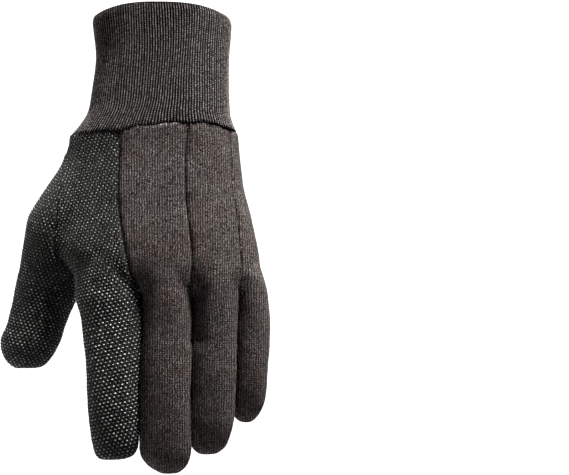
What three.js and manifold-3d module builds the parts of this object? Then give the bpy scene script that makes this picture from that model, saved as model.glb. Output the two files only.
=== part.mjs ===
// Jersey work glove for the left hand, filled as it is when worn, with its fingers hanging down.
// Millimetres. +Z points up the forearm, -Y is the side of the back of the hand and -X the thumb's side.
// The origin is the middle of the wrist opening. The glove is sewn from one dotted palm piece that also
// wraps the index finger, a dotted thumb piece, three plain strips over the back and a rib-knit cuff.

import * as THREE from 'three';
import { mergeVertices } from 'three/addons/utils/BufferGeometryUtils.js';
import Module from 'manifold-3d';

// Driving dimensions
const CLOTH = 2.0;
const CUFF_WALL = 2.6;
const SEAM_GAP = 0.3;
const RIB_COUNT = 72;
const RIB_HEIGHT = 0.8;
const RIM_RISE_BACK = 7.5;
const RIM_RISE_PALM = 5.5;
const RIM_BOW = 1.6;

// How finely each form is divided
const HAND = { sides: 48, power: 2.5 };
const FINGER = { sides: 16, power: 2.25 };
const THUMB = { sides: 20, power: 2.3 };
const CUFF = { bands: 5, innerBands: 2, power: 2.35 };

// A region that cuts the cloth reaches this far past the glove: sideways, up and down
const BEYOND = 120;
const ABOVE = 20;
const BELOW = -290;

// The hollow's top row is raised by this much, so that the cloth is open at the top
const OPEN_TOP = 6;

// Sections of the hand from the cuff down to the finger roots: height and the four outer edges
const HAND_ROWS = [
  { z: -46, left: -44.5, right: 38.0, back: -24.0, palm: 24.0 },
  { z: -56, left: -47.4, right: 39.2, back: -24.0, palm: 24.0 },
  { z: -63, left: -49.0, right: 40.4, back: -23.0, palm: 23.6 },
  { z: -74, left: -50.0, right: 41.6, back: -21.2, palm: 22.6 },
  { z: -90, left: -51.8, right: 43.6, back: -19.4, palm: 21.6 },
  { z: -105, left: -54.3, right: 47.2, back: -18.4, palm: 20.6 },
  { z: -117, left: -56.4, right: 49.8, back: -17.8, palm: 19.4 },
  { z: -124, left: -55.8, right: 51.2, back: -16.8, palm: 18.2 },
  { z: -132, left: -50.6, right: 52.8, back: -15.4, palm: 16.8 },
  { z: -139, left: -46.2, right: 54.2, back: -13.2, palm: 14.6 },
  { z: -144, left: -44.0, right: 54.6, back: -10.2, palm: 11.8 },
  { z: -147, left: -42.4, right: 53.6, back: -6.0, palm: 8.4 },
];

// Sections of each finger, from inside the hand to the tip
const INDEX_ROWS = [
  { z: -116, left: -42.0, right: -18.0, back: -12.4, palm: 13.0 },
  { z: -135, left: -44.4, right: -13.6, back: -13.2, palm: 14.2 },
  { z: -150, left: -44.6, right: -11.3, back: -12.4, palm: 11.8 },
  { z: -164, left: -42.7, right: -11.2, back: -11.2, palm: 10.4 },
  { z: -178, left: -41.1, right: -11.9, back: -10.0, palm: 11.2 },
  { z: -192, left: -40.5, right: -12.4, back: -8.4, palm: 12.2 },
  { z: -206, left: -40.3, right: -12.8, back: -6.4, palm: 13.6 },
  { z: -219, left: -39.9, right: -13.0, back: -3.8, palm: 14.8 },
  { z: -227, left: -38.6, right: -14.0, back: -1.4, palm: 15.2 },
  { z: -232, left: -36.9, right: -15.8, back: 0.8, palm: 14.8 },
  { z: -235.6, left: -34.0, right: -18.6, back: 3.4, palm: 13.8 },
  { z: -237.6, left: -30.4, right: -22.4, back: 6.2, palm: 11.8 },
];
const MIDDLE_ROWS = [
  { z: -116, left: -9.0, right: 11.0, back: -15.0, palm: 13.0 },
  { z: -135, left: -11.0, right: 14.2, back: -15.6, palm: 14.0 },
  { z: -150, left: -10.3, right: 15.2, back: -14.2, palm: 11.2 },
  { z: -164, left: -10.2, right: 15.7, back: -12.6, palm: 9.6 },
  { z: -178, left: -10.9, right: 15.8, back: -11.4, palm: 10.0 },
  { z: -192, left: -11.5, right: 15.6, back: -9.8, palm: 11.0 },
  { z: -206, left: -11.8, right: 15.2, back: -7.8, palm: 12.2 },
  { z: -220, left: -12.0, right: 14.9, back: -5.2, palm: 13.6 },
  { z: -230, left: -11.9, right: 14.7, back: -2.8, palm: 14.4 },
  { z: -237, left: -11.0, right: 13.8, back: -0.2, palm: 14.4 },
  { z: -242, left: -7.6, right: 11.4, back: 3.0, palm: 13.4 },
  { z: -245.2, left: -2.2, right: 7.4, back: 6.4, palm: 11.4 },
];
const RING_ROWS = [
  { z: -116, left: 18.0, right: 36.0, back: -13.4, palm: 13.0 },
  { z: -135, left: 16.8, right: 40.4, back: -14.0, palm: 14.0 },
  { z: -150, left: 16.3, right: 40.5, back: -12.6, palm: 11.6 },
  { z: -164, left: 16.8, right: 40.0, back: -11.0, palm: 10.2 },
  { z: -178, left: 16.9, right: 40.1, back: -9.6, palm: 10.8 },
  { z: -192, left: 16.6, right: 39.6, back: -7.8, palm: 12.0 },
  { z: -206, left: 16.2, right: 38.6, back: -5.6, palm: 13.4 },
  { z: -218, left: 15.8, right: 37.2, back: -3.0, palm: 14.6 },
  { z: -226, left: 15.8, right: 35.6, back: -0.4, palm: 15.0 },
  { z: -231, left: 17.0, right: 32.8, back: 2.4, palm: 14.4 },
  { z: -234.2, left: 20.6, right: 29.2, back: 5.6, palm: 12.4 },
];
const LITTLE_ROWS = [
  { z: -122, left: 35.0, right: 49.0, back: -6.0, palm: 13.0 },
  { z: -137, left: 41.0, right: 54.4, back: -8.4, palm: 14.8 },
  { z: -150, left: 41.4, right: 56.6, back: -6.6, palm: 15.0 },
  { z: -164, left: 41.0, right: 57.3, back: -4.8, palm: 14.8 },
  { z: -178, left: 41.1, right: 57.3, back: -3.4, palm: 15.8 },
  { z: -190, left: 40.6, right: 56.3, back: -1.6, palm: 17.0 },
  { z: -200, left: 39.7, right: 55.6, back: 0.4, palm: 18.0 },
  { z: -207, left: 39.6, right: 54.2, back: 2.6, palm: 18.4 },
  { z: -212, left: 40.4, right: 52.2, back: 5.0, palm: 18.0 },
  { z: -215.2, left: 42.2, right: 49.8, back: 7.8, palm: 16.6 },
  { z: -216.8, left: 44.2, right: 47.8, back: 10.0, palm: 14.6 },
];
const THUMB_ROWS = [
  { z: -60, left: -46.0, right: -28.0, back: -8.0, palm: 19.0 },
  { z: -71, left: -50.9, right: -29.0, back: -10.0, palm: 23.0 },
  { z: -80, left: -55.2, right: -31.0, back: -10.4, palm: 26.0 },
  { z: -89, left: -61.2, right: -34.0, back: -9.8, palm: 28.4 },
  { z: -98, left: -67.2, right: -37.0, back: -8.6, palm: 30.2 },
  { z: -107, left: -72.2, right: -40.4, back: -6.8, palm: 31.0 },
  { z: -119, left: -74.2, right: -44.0, back: -4.4, palm: 30.8 },
  { z: -133, left: -76.8, right: -46.2, back: -0.8, palm: 29.8 },
  { z: -145, left: -79.6, right: -47.2, back: 2.6, palm: 29.2 },
  { z: -152, left: -80.8, right: -47.6, back: 4.4, palm: 29.2 },
  { z: -160, left: -82.2, right: -51.0, back: 6.0, palm: 29.8 },
  { z: -170, left: -85.8, right: -54.8, back: 8.0, palm: 31.0 },
  { z: -177, left: -86.8, right: -57.4, back: 10.0, palm: 31.0 },
  { z: -182.5, left: -84.6, right: -60.8, back: 12.6, palm: 29.8 },
  { z: -186, left: -80.8, right: -65.2, back: 15.4, palm: 27.6 },
  { z: -187.6, left: -76.4, right: -69.6, back: 18.0, palm: 24.8 },
];

// The cuff, from its rim (down 0) to the seam that joins it to the hand (down 1)
const CUFF_ROWS = [
  { down: 0.0, left: -38.0, right: 38.0, back: -26.4, palm: 26.4 },
  { down: 0.1, left: -36.9, right: 36.8, back: -25.4, palm: 25.4 },
  { down: 0.35, left: -36.1, right: 35.7, back: -24.4, palm: 24.4 },
  { down: 0.62, left: -37.0, right: 35.6, back: -24.0, palm: 24.0 },
  { down: 0.8, left: -40.0, right: 36.2, back: -24.0, palm: 24.0 },
  { down: 0.92, left: -44.8, right: 38.0, back: -23.9, palm: 24.0 },
  { down: 1.0, left: -48.3, right: 39.9, back: -23.5, palm: 23.8 },
];

// Seam between cuff and hand, as its height along the width
const CUFF_SEAM = [
  { x: -BEYOND, z: -63.6 },
  { x: -50, z: -63.4 },
  { x: -39, z: -61.6 },
  { x: -22, z: -60.8 },
  { x: -6, z: -58.0 },
  { x: 10, z: -56.8 },
  { x: 22, z: -56.6 },
  { x: 30, z: -57.4 },
  { x: 40, z: -61.0 },
  { x: BEYOND, z: -61.2 },
];

// Seams that run down the back of the hand and on between two fingers
const INDEX_MIDDLE_SEAM = [
  { z: ABOVE, x: -22.0 },
  { z: -62, x: -22.1 },
  { z: -84, x: -23.0 },
  { z: -97, x: -23.2 },
  { z: -108, x: -22.1 },
  { z: -119, x: -20.5 },
  { z: -127, x: -18.9 },
  { z: -135, x: -17.0 },
  { z: -142, x: -13.6 },
  { z: -146, x: -11.4 },
  { z: -164, x: -10.7 },
  { z: -178, x: -11.4 },
  { z: -206, x: -12.3 },
  { z: BELOW, x: -12.5 },
];
const MIDDLE_RING_SEAM = [
  { z: ABOVE, x: 14.0 },
  { z: -57, x: 14.0 },
  { z: -75, x: 12.4 },
  { z: -95, x: 12.6 },
  { z: -113, x: 14.6 },
  { z: -124, x: 16.0 },
  { z: -134, x: 16.0 },
  { z: -146, x: 15.6 },
  { z: -164, x: 16.25 },
  { z: -178, x: 16.35 },
  { z: -206, x: 15.7 },
  { z: BELOW, x: 15.3 },
];
const RING_LITTLE_SEAM = [
  { z: ABOVE, x: 37.0 },
  { z: -58, x: 37.0 },
  { z: -78, x: 37.8 },
  { z: -95, x: 39.0 },
  { z: -108, x: 41.0 },
  { z: -119, x: 42.2 },
  { z: -132, x: 43.0 },
  { z: -141, x: 42.0 },
  { z: -148, x: 40.9 },
  { z: -164, x: 40.5 },
  { z: -178, x: 40.6 },
  { z: -190, x: 40.2 },
  { z: -200, x: 39.4 },
  { z: -207, x: 39.0 },
  { z: BELOW, x: 39.0 },
];

// Seams round the thumb piece: one near the edge of the back, one across the palm
const THUMB_BACK_SEAM = [
  { z: ABOVE, x: -50.4 },
  { z: -66, x: -50.4 },
  { z: -83, x: -52.4 },
  { z: -105, x: -55.6 },
  { z: -119, x: -57.5 },
  { z: -125, x: -57.0 },
  { z: -133, x: -51.2 },
  { z: -139, x: -47.6 },
  { z: -145, x: -45.9 },
  { z: -152, x: -46.0 },
  { z: -160, x: -47.2 },
  { z: BELOW, x: -47.2 },
];
const THUMB_PALM_SEAM = [
  { z: ABOVE, x: -32.0 },
  { z: -63, x: -32.0 },
  { z: -100, x: -38.6 },
  { z: -119, x: -43.2 },
  { z: -133, x: -45.6 },
  { z: -145, x: -45.9 },
  { z: -152, x: -46.0 },
  { z: -160, x: -47.2 },
  { z: BELOW, x: -47.2 },
];
const THUMB_SPLIT_Y = 4;

// Depth at which the cloth of the back meets the cloth of the palm, down each finger
const MIDDLE_SPLIT = [
  { z: ABOVE, y: 0 },
  { z: -139, y: -1 },
  { z: -164, y: -1.4 },
  { z: -192, y: 0.8 },
  { z: -220, y: 4.4 },
  { z: -246, y: 9.0 },
  { z: BELOW, y: 9.0 },
];
const RING_SPLIT = [
  { z: ABOVE, y: 0 },
  { z: -139, y: -0.4 },
  { z: -164, y: -0.2 },
  { z: -192, y: 2.2 },
  { z: -218, y: 6.0 },
  { z: -235, y: 9.0 },
  { z: BELOW, y: 9.0 },
];
const LITTLE_SPLIT = [
  { z: ABOVE, y: 9 },
  { z: -100, y: 9 },
  { z: -139, y: 6.5 },
  { z: -164, y: 5.2 },
  { z: -190, y: 7.8 },
  { z: -207, y: 10.6 },
  { z: -218, y: 12.4 },
  { z: BELOW, y: 12.4 },
];

// Folds and sewn dips of the hand: a straight line on the back or the palm, how wide and how deep
const FOLDS = [
  { side: -1, x1: -22, z1: -62, x2: -23, z2: -100, width: 4.5, depth: 1.3 },
  { side: -1, x1: -23, z1: -100, x2: -15, z2: -141, width: 5.0, depth: 2.0 },
  { side: -1, x1: 14, z1: -58, x2: 13, z2: -98, width: 4.5, depth: 1.3 },
  { side: -1, x1: 13, z1: -98, x2: 16, z2: -144, width: 5.0, depth: 2.2 },
  { side: -1, x1: 38, z1: -60, x2: 43, z2: -144, width: 4.5, depth: 1.4 },
  { side: 1, x1: -40, z1: -128, x2: -12, z2: -78, width: 5.0, depth: 2.4 },
  { side: 1, x1: 52, z1: -118, x2: 8, z2: -128, width: 5.0, depth: 2.0 },
  { side: 1, x1: -12, z1: -146, x2: -14, z2: -126, width: 4.5, depth: 1.8 },
  { side: 1, x1: 16, z1: -146, x2: 15, z2: -130, width: 4.5, depth: 1.8 },
];

const COLOURS = {
  knit: new THREE.MeshStandardMaterial({ color: 0x3f3a38, roughness: 0.95, metalness: 0 }),
  jersey: new THREE.MeshStandardMaterial({ color: 0x4f4845, roughness: 0.95, metalness: 0 }),
  dotted: new THREE.MeshStandardMaterial({ color: 0x31312f, roughness: 0.9, metalness: 0 }),
};

const wasm = await Module();
wasm.setup();

// Straight interpolation in a table, by its column `from` to its column `to`
function lookUp(rows, from, to, value) {
  const rising = rows[rows.length - 1][from] > rows[0][from];
  const ordered = rising ? rows : [...rows].reverse();
  if (value <= ordered[0][from]) {
    return ordered[0][to];
  }
  for (let i = 0; i < ordered.length - 1; i += 1) {
    if (value <= ordered[i + 1][from]) {
      const share = (value - ordered[i][from]) / (ordered[i + 1][from] - ordered[i][from]);
      return ordered[i][to] + share * (ordered[i + 1][to] - ordered[i][to]);
    }
  }
  return ordered[ordered.length - 1][to];
}

// Point of a rounded section at one angle: 0 is +X and a quarter turn is +Y
function sectionPoint(row, angle, power) {
  const bend = 2 / power;
  const c = Math.cos(angle);
  const s = Math.sin(angle);
  const halfWidth = (row.right - row.left) / 2;
  const halfDepth = (row.palm - row.back) / 2;
  return {
    x: (row.left + row.right) / 2 + halfWidth * Math.sign(c) * Math.abs(c) ** bend,
    y: (row.back + row.palm) / 2 + halfDepth * Math.sign(s) * Math.abs(s) ** bend,
  };
}

// How far the folds push the cloth inwards at a point of the hand
function foldDepth(x, y, z) {
  let depth = 0;
  for (const fold of FOLDS) {
    if (Math.sign(y) === fold.side) {
      const dx = fold.x2 - fold.x1;
      const dz = fold.z2 - fold.z1;
      const along = ((x - fold.x1) * dx + (z - fold.z1) * dz) / (dx * dx + dz * dz);
      const t = Math.min(Math.max(along, 0), 1);
      const away = Math.hypot(x - fold.x1 - t * dx, z - fold.z1 - t * dz) / fold.width;
      depth = Math.max(depth, fold.depth * Math.exp(-away * away));
    }
  }
  return depth;
}

// Body lofted through rounded sections from the top row to the bottom row, closed at both ends
function loft(rows, form, folded) {
  const { sides, power } = form;
  const points = [];
  for (const row of rows) {
    for (let i = 0; i < sides; i += 1) {
      const point = sectionPoint(row, (i / sides) * 2 * Math.PI, power);
      const push = folded ? foldDepth(point.x, point.y, row.z) : 0;
      points.push(point.x, point.y - Math.sign(point.y) * push, row.z);
    }
  }
  const triangles = [];
  for (let r = 0; r < rows.length - 1; r += 1) {
    for (let i = 0; i < sides; i += 1) {
      const next = (i + 1) % sides;
      const upper = r * sides;
      const lower = upper + sides;
      triangles.push(lower + i, lower + next, upper + next);
      triangles.push(lower + i, upper + next, upper + i);
    }
  }
  const ends = [
    { row: rows[0], first: 0, up: true },
    { row: rows[rows.length - 1], first: (rows.length - 1) * sides, up: false },
  ];
  for (const end of ends) {
    const centre = points.length / 3;
    points.push((end.row.left + end.row.right) / 2, (end.row.back + end.row.palm) / 2, end.row.z);
    for (let i = 0; i < sides; i += 1) {
      const here = end.first + i;
      const next = end.first + ((i + 1) % sides);
      triangles.push(centre, end.up ? here : next, end.up ? next : here);
    }
  }
  return toSolid(points, triangles);
}

function toSolid(points, triangles) {
  const mesh = new wasm.Mesh({
    numProp: 3,
    vertProperties: new Float32Array(points),
    triVerts: new Uint32Array(triangles),
  });
  return new wasm.Manifold(mesh);
}

function geometryToSolid(geometry) {
  geometry.deleteAttribute('normal');
  geometry.deleteAttribute('uv');
  const merged = mergeVertices(geometry);
  return toSolid(merged.attributes.position.array, merged.index.array);
}

// The same sections one cloth thickness further in, for the hollow. The tip moves up by the same
function inset(rows, wall) {
  const top = rows[0].z;
  const reach = top - rows[rows.length - 1].z;
  return rows.map((row) => ({
    z: top + (row.z - top) * (1 - wall / reach),
    left: row.left + wall,
    right: row.right - wall,
    back: row.back + wall,
    palm: row.palm - wall,
  }));
}

// Prism of an outline in X and Z, from one depth to another
function prismAlongY(outline, nearY, farY) {
  const shape = new THREE.Shape(outline.map((point) => new THREE.Vector2(point.x, point.z)));
  const geometry = new THREE.ExtrudeGeometry(shape, { depth: farY - nearY, bevelEnabled: false });
  geometry.rotateX(Math.PI / 2);
  geometry.translate(0, farY, 0);
  return geometryToSolid(geometry);
}

// Everything on the back's side of a split line, right across the glove
function backOf(split, shift) {
  const edge = split.map((point) => new THREE.Vector2(point.y + shift, point.z));
  const last = split[split.length - 1].z;
  const corners = [new THREE.Vector2(-BEYOND, last), new THREE.Vector2(-BEYOND, split[0].z)];
  const shape = new THREE.Shape([...edge, ...corners]);
  const geometry = new THREE.ExtrudeGeometry(shape, { depth: 2 * BEYOND, bevelEnabled: false });
  geometry.rotateX(Math.PI / 2);
  geometry.rotateZ(Math.PI / 2);
  geometry.translate(-BEYOND, 0, 0);
  return geometryToSolid(geometry);
}

// Outline between two seams, each moved sideways by its own shift
function stripOutline(leftSeam, leftShift, rightSeam, rightShift) {
  const leftEdge = leftSeam.map((point) => ({ x: point.x + leftShift, z: point.z }));
  const rightEdge = rightSeam.map((point) => ({ x: point.x + rightShift, z: point.z }));
  return [...leftEdge, ...rightEdge.reverse()];
}

function farEdge(x) {
  return [{ z: ABOVE, x }, { z: BELOW, x }];
}

// Strip of the back between two seams, grown or shrunk by the gap
function backStrip(leftSeam, rightSeam, split, grow) {
  const outline = stripOutline(leftSeam, -grow, rightSeam, grow);
  return prismAlongY(outline, -BEYOND, BEYOND).intersect(backOf(split, grow));
}

// Everything that belongs to the thumb piece, grown or shrunk by the gap
function thumbRegion(grow) {
  const backOutline = stripOutline(farEdge(-BEYOND), 0, THUMB_BACK_SEAM, grow);
  const palmOutline = stripOutline(farEdge(-BEYOND), 0, THUMB_PALM_SEAM, grow);
  const backPart = prismAlongY(backOutline, -BEYOND, BEYOND);
  const palmPart = prismAlongY(palmOutline, THUMB_SPLIT_Y - grow, BEYOND);
  return backPart.add(palmPart);
}

// The whole filled glove below the cuff, as a sheet of cloth with an open top
function clothShell() {
  const digits = [INDEX_ROWS, MIDDLE_ROWS, RING_ROWS, LITTLE_ROWS];
  let outer = loft(HAND_ROWS, HAND, true);
  let inner = loft(openTop(inset(HAND_ROWS, CLOTH)), HAND, true);
  for (const rows of digits) {
    outer = outer.add(loft(rows, FINGER, false));
    inner = inner.add(loft(inset(rows, CLOTH), FINGER, false));
  }
  outer = outer.add(loft(THUMB_ROWS, THUMB, false));
  inner = inner.add(loft(inset(THUMB_ROWS, CLOTH), THUMB, false));
  const seamEdge = CUFF_SEAM.map((point) => ({ x: point.x, z: point.z - SEAM_GAP / 2 }));
  const corners = [{ x: BEYOND, z: BELOW }, { x: -BEYOND, z: BELOW }];
  const belowCuff = prismAlongY([...seamEdge, ...corners], -BEYOND, BEYOND);
  return outer.subtract(inner).intersect(belowCuff);
}

// Raises the first row, so that the hollow runs out of the cloth at the top
function openTop(rows) {
  const [first, ...rest] = rows;
  return [{ ...first, z: first.z + OPEN_TOP }, ...rest];
}

// Radius and height of the cuff: fine ribs outside, smooth inside, with a rim and a seam that both bend
function cuffPoint(row, angle, ribOut) {
  const flat = sectionPoint(row, angle, CUFF.power);
  const length = Math.hypot(flat.x, flat.y);
  const x = flat.x * (1 + ribOut / length);
  const y = flat.y * (1 + ribOut / length);
  const rise = y < 0 ? RIM_RISE_BACK : RIM_RISE_PALM;
  const rim = rise * Math.abs(Math.sin(angle)) ** RIM_BOW;
  const seam = lookUp(CUFF_SEAM, 'x', 'z', x) + SEAM_GAP / 2;
  return [x, y, rim + (seam - rim) * row.down];
}

function knitCuff() {
  const sides = 2 * RIB_COUNT;
  const outerRows = tableAt(CUFF_ROWS, CUFF.bands);
  const innerRows = tableAt(CUFF_ROWS, CUFF.innerBands).map((row) => ({
    down: row.down,
    left: row.left + CUFF_WALL,
    right: row.right - CUFF_WALL,
    back: row.back + CUFF_WALL,
    palm: row.palm - CUFF_WALL,
  }));
  const rings = [];
  for (const row of outerRows) {
    rings.push(ring(row, sides, (i) => (i % 2 === 0 ? 0 : -RIB_HEIGHT)));
  }
  for (const row of innerRows.reverse()) {
    rings.push(ring(row, sides, () => 0));
  }
  const triangles = [];
  for (let r = 0; r < rings.length; r += 1) {
    const upper = r * sides;
    const lower = ((r + 1) % rings.length) * sides;
    for (let i = 0; i < sides; i += 1) {
      const next = (i + 1) % sides;
      triangles.push(lower + i, lower + next, upper + next);
      triangles.push(lower + i, upper + next, upper + i);
    }
  }
  return toSolid(rings.flat(), triangles);
}

// Rows of a table at even steps of its column `down`
function tableAt(rows, bands) {
  const even = [];
  for (let k = 0; k <= bands; k += 1) {
    const down = k / bands;
    const row = { down };
    for (const column of ['left', 'right', 'back', 'palm']) {
      row[column] = lookUp(rows, 'down', column, down);
    }
    even.push(row);
  }
  return even;
}

function ring(row, sides, ribOut) {
  const points = [];
  for (let i = 0; i < sides; i += 1) {
    points.push(...cuffPoint(row, (i / sides) * 2 * Math.PI, ribOut(i)));
  }
  return points;
}

function toMesh(name, solid, material) {
  const { vertProperties, triVerts } = solid.getMesh();
  const geometry = new THREE.BufferGeometry();
  geometry.setAttribute('position', new THREE.BufferAttribute(new Float32Array(vertProperties), 3));
  geometry.setIndex(new THREE.BufferAttribute(new Uint32Array(triVerts), 1));
  geometry.computeVertexNormals();
  const mesh = new THREE.Mesh(geometry, material);
  mesh.name = name;
  return mesh;
}

// Cuts the cloth along its seams and leaves the gap between neighbours
function sewnPieces() {
  const cloth = clothShell();
  const half = SEAM_GAP / 2;
  const outside = farEdge(BEYOND);
  const strips = [
    { name: 'back_middle', left: INDEX_MIDDLE_SEAM, right: MIDDLE_RING_SEAM, split: MIDDLE_SPLIT },
    { name: 'back_ring', left: MIDDLE_RING_SEAM, right: RING_LITTLE_SEAM, split: RING_SPLIT },
    { name: 'back_little', left: RING_LITTLE_SEAM, right: outside, split: LITTLE_SPLIT },
  ];
  const pieces = [];
  let palm = cloth.subtract(thumbRegion(half));
  for (const strip of strips) {
    const inside = backStrip(strip.left, strip.right, strip.split, -half);
    pieces.push(toMesh(strip.name, cloth.intersect(inside), COLOURS.jersey));
    palm = palm.subtract(backStrip(strip.left, strip.right, strip.split, half));
  }
  pieces.push(toMesh('thumb_panel', cloth.intersect(thumbRegion(-half)), COLOURS.dotted));
  pieces.push(toMesh('palm_panel', palm, COLOURS.dotted));
  return pieces;
}

const glove = new THREE.Group();
glove.name = 'jersey_work_glove';
glove.add(toMesh('knit_cuff', knitCuff(), COLOURS.knit));
for (const piece of sewnPieces()) {
  glove.add(piece);
}

export default glove;
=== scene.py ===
"""Jersey work glove for the left hand, filled as it is when worn, fingers down, seen from its back.

The cloth is made as one smooth skin over a hand's form, cut along the sewn seams into its real pieces. Each
piece is given its place on the flat cloth, its thickness and its own knit. The grip dots stand on the flat
cloth's lattice, so they run round the fingers as on the real fabric. Geometry Nodes set the dots and press
the ribs into the cuff. All forms are worked out in millimetres and turned to metres when a piece is made.
"""

import math
from collections import namedtuple

import bmesh
import bpy
import numpy as np
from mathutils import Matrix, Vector, kdtree, noise


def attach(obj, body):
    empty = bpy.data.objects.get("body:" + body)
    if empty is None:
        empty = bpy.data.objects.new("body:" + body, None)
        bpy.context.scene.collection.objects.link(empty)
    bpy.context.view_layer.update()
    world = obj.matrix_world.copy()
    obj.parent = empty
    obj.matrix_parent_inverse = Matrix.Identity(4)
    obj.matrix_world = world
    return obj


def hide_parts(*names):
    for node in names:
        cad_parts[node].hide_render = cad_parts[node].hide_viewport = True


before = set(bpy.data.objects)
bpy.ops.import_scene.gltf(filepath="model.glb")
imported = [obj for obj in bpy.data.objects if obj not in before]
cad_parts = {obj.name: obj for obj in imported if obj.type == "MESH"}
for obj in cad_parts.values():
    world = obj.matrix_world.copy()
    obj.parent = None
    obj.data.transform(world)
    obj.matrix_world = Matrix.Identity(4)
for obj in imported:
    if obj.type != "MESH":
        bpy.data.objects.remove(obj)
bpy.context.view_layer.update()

MM = 0.001

# Cloth and knit, in millimetres
CLOTH = 1.9
CUFF_WALL = 2.4
SKIN_STEP = 1.0
SKIN_SMOOTHING = 13
SKIN_REGAIN = 0.22
SEAM_GAP = 0.12
DOT_PITCH = 2.35
DOT_ROWS = 1.92
DOT_LENGTH = 1.18
DOT_WIDTH = 0.84
DOT_HEIGHT = 0.32
DOT_SIDES = 7
DOT_ROOT = 0.3
DOT_SHOULDER = 0.72
DOT_JITTER = 0.22
DOT_SMALLEST, DOT_VARIES = 0.75, 0.4
DOT_FREE_OF_SEAM = 0.35
DOT_SIZE = {"Length": DOT_LENGTH * MM, "Width": DOT_WIDTH * MM, "Height": DOT_HEIGHT * MM, "Sides": DOT_SIDES}
PALM_DOT_TILT = 13.0
WALE_PITCH = 1.33
COURSE_PITCH = 1.0
RIB_COUNT = 146
RIB_SAMPLES = 6
RIB_HEIGHT = 0.9
RIB_WANDER = 0.0012
RIB_SHALLOWEST, RIB_VARIES = 0.75, 0.5
RIB_SIZE = {"Count": RIB_COUNT, "Height": RIB_HEIGHT * MM}
RIM_RISE_BACK = 6.7
RIM_RISE_PALM = 5.5
RIM_TILT = 0.5
RIM_ROLL, RIM_ROLL_SPAN = 0.9, 0.02
SEAM_ROLL, SEAM_ROLL_SPAN = 0.25, 0.012
CUFF_LENGTH = 65.0
CUFF_BANDS = 46
CUFF_INNER_BANDS = 14
HAND_POWER, FINGER_POWER, THUMB_POWER, CUFF_POWER = 2.5, 2.25, 2.3, 2.7

Section = namedtuple("Section", "z left right back palm")
CuffSection = namedtuple("CuffSection", "down left right back palm")
Fold = namedtuple("Fold", "side x1 z1 x2 z2 width depth")

# Sections of the hand from the cuff down to the finger roots: height and the four outer edges
HAND = [
    Section(-46, -44.5, 38.0, -24.0, 24.0),
    Section(-56, -47.4, 39.2, -23.6, 24.0),
    Section(-63, -49.0, 41.0, -22.6, 23.6),
    Section(-74, -50.0, 42.0, -21.4, 22.6),
    Section(-90, -51.8, 43.9, -20.4, 21.6),
    Section(-105, -54.3, 47.6, -19.8, 20.6),
    Section(-117, -56.4, 50.4, -19.2, 19.4),
    Section(-124, -55.8, 51.6, -18.7, 18.2),
    Section(-132, -50.6, 52.6, -17.6, 16.8),
    Section(-139, -46.2, 53.8, -15.8, 14.6),
    Section(-144, -44.0, 54.2, -13.4, 12.2),
    Section(-148, -42.4, 53.6, -9.8, 9.4),
    Section(-151, -41.4, 52.4, -5.4, 6.0),
]
INDEX = [
    Section(-116, -43.0, -14.0, -16.6, 13.0),
    Section(-135, -45.4, -12.8, -16.2, 14.2),
    Section(-147, -46.4, -11.4, -14.8, 12.2),
    Section(-152.5, -45.6, -11.2, -14.0, 11.6),
    Section(-158, -43.9, -11.2, -13.0, 11.0),
    Section(-166, -42.6, -11.2, -12.0, 10.5),
    Section(-178, -41.1, -11.9, -10.4, 11.2),
    Section(-192, -40.5, -12.4, -8.4, 12.2),
    Section(-206, -39.8, -12.8, -6.0, 13.6),
    Section(-219, -39.0, -13.0, -3.2, 14.8),
    Section(-227, -37.7, -13.4, -0.8, 15.2),
    Section(-231.6, -37.1, -14.4, 1.2, 14.8),
    Section(-235.6, -36.0, -17.2, 3.6, 13.8),
    Section(-237.6, -33.8, -22.4, 6.2, 11.8),
]
MIDDLE = [
    Section(-116, -12.0, 12.0, -18.4, 13.0),
    Section(-135, -11.0, 14.2, -17.6, 14.0),
    Section(-150, -10.3, 15.2, -15.6, 11.2),
    Section(-164, -10.2, 15.7, -13.6, 9.6),
    Section(-178, -10.9, 15.8, -11.8, 10.0),
    Section(-192, -11.5, 15.6, -9.8, 11.0),
    Section(-206, -11.8, 15.2, -7.4, 12.2),
    Section(-220, -12.0, 14.9, -4.6, 13.6),
    Section(-230, -11.7, 14.7, -2.2, 14.4),
    Section(-236, -10.4, 13.9, 0.0, 14.4),
    Section(-241.6, -5.6, 11.6, 3.2, 13.4),
    Section(-245.4, 0.4, 7.4, 6.4, 11.4),
]
RING = [
    Section(-116, 17.0, 37.0, -15.4, 13.0),
    Section(-135, 16.8, 40.4, -16.3, 14.0),
    Section(-150, 16.3, 40.5, -14.4, 11.6),
    Section(-164, 16.8, 40.0, -12.0, 10.2),
    Section(-178, 16.9, 40.1, -10.0, 10.8),
    Section(-192, 16.6, 39.6, -7.8, 12.0),
    Section(-206, 16.2, 38.6, -5.2, 13.4),
    Section(-218, 15.8, 37.0, -2.6, 14.6),
    Section(-225, 15.9, 35.4, -0.4, 15.0),
    Section(-230.8, 17.2, 33.2, 2.2, 14.4),
    Section(-234.9, 20.8, 28.2, 5.6, 12.4),
]
LITTLE = [
    Section(-122, 35.0, 49.0, -8.0, 13.0),
    Section(-137, 41.0, 53.8, -10.2, 14.8),
    Section(-150, 41.4, 56.9, -8.4, 15.0),
    Section(-164, 41.0, 57.8, -6.2, 14.8),
    Section(-178, 41.1, 57.7, -4.2, 15.8),
    Section(-190, 40.6, 56.7, -2.0, 17.0),
    Section(-200, 39.4, 56.3, 0.2, 18.0),
    Section(-207, 38.4, 55.3, 2.4, 18.4),
    Section(-212.6, 39.2, 53.0, 5.0, 18.0),
    Section(-216.6, 42.0, 49.8, 7.8, 16.6),
    Section(-218, 44.6, 47.8, 10.0, 14.6),
]
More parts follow.
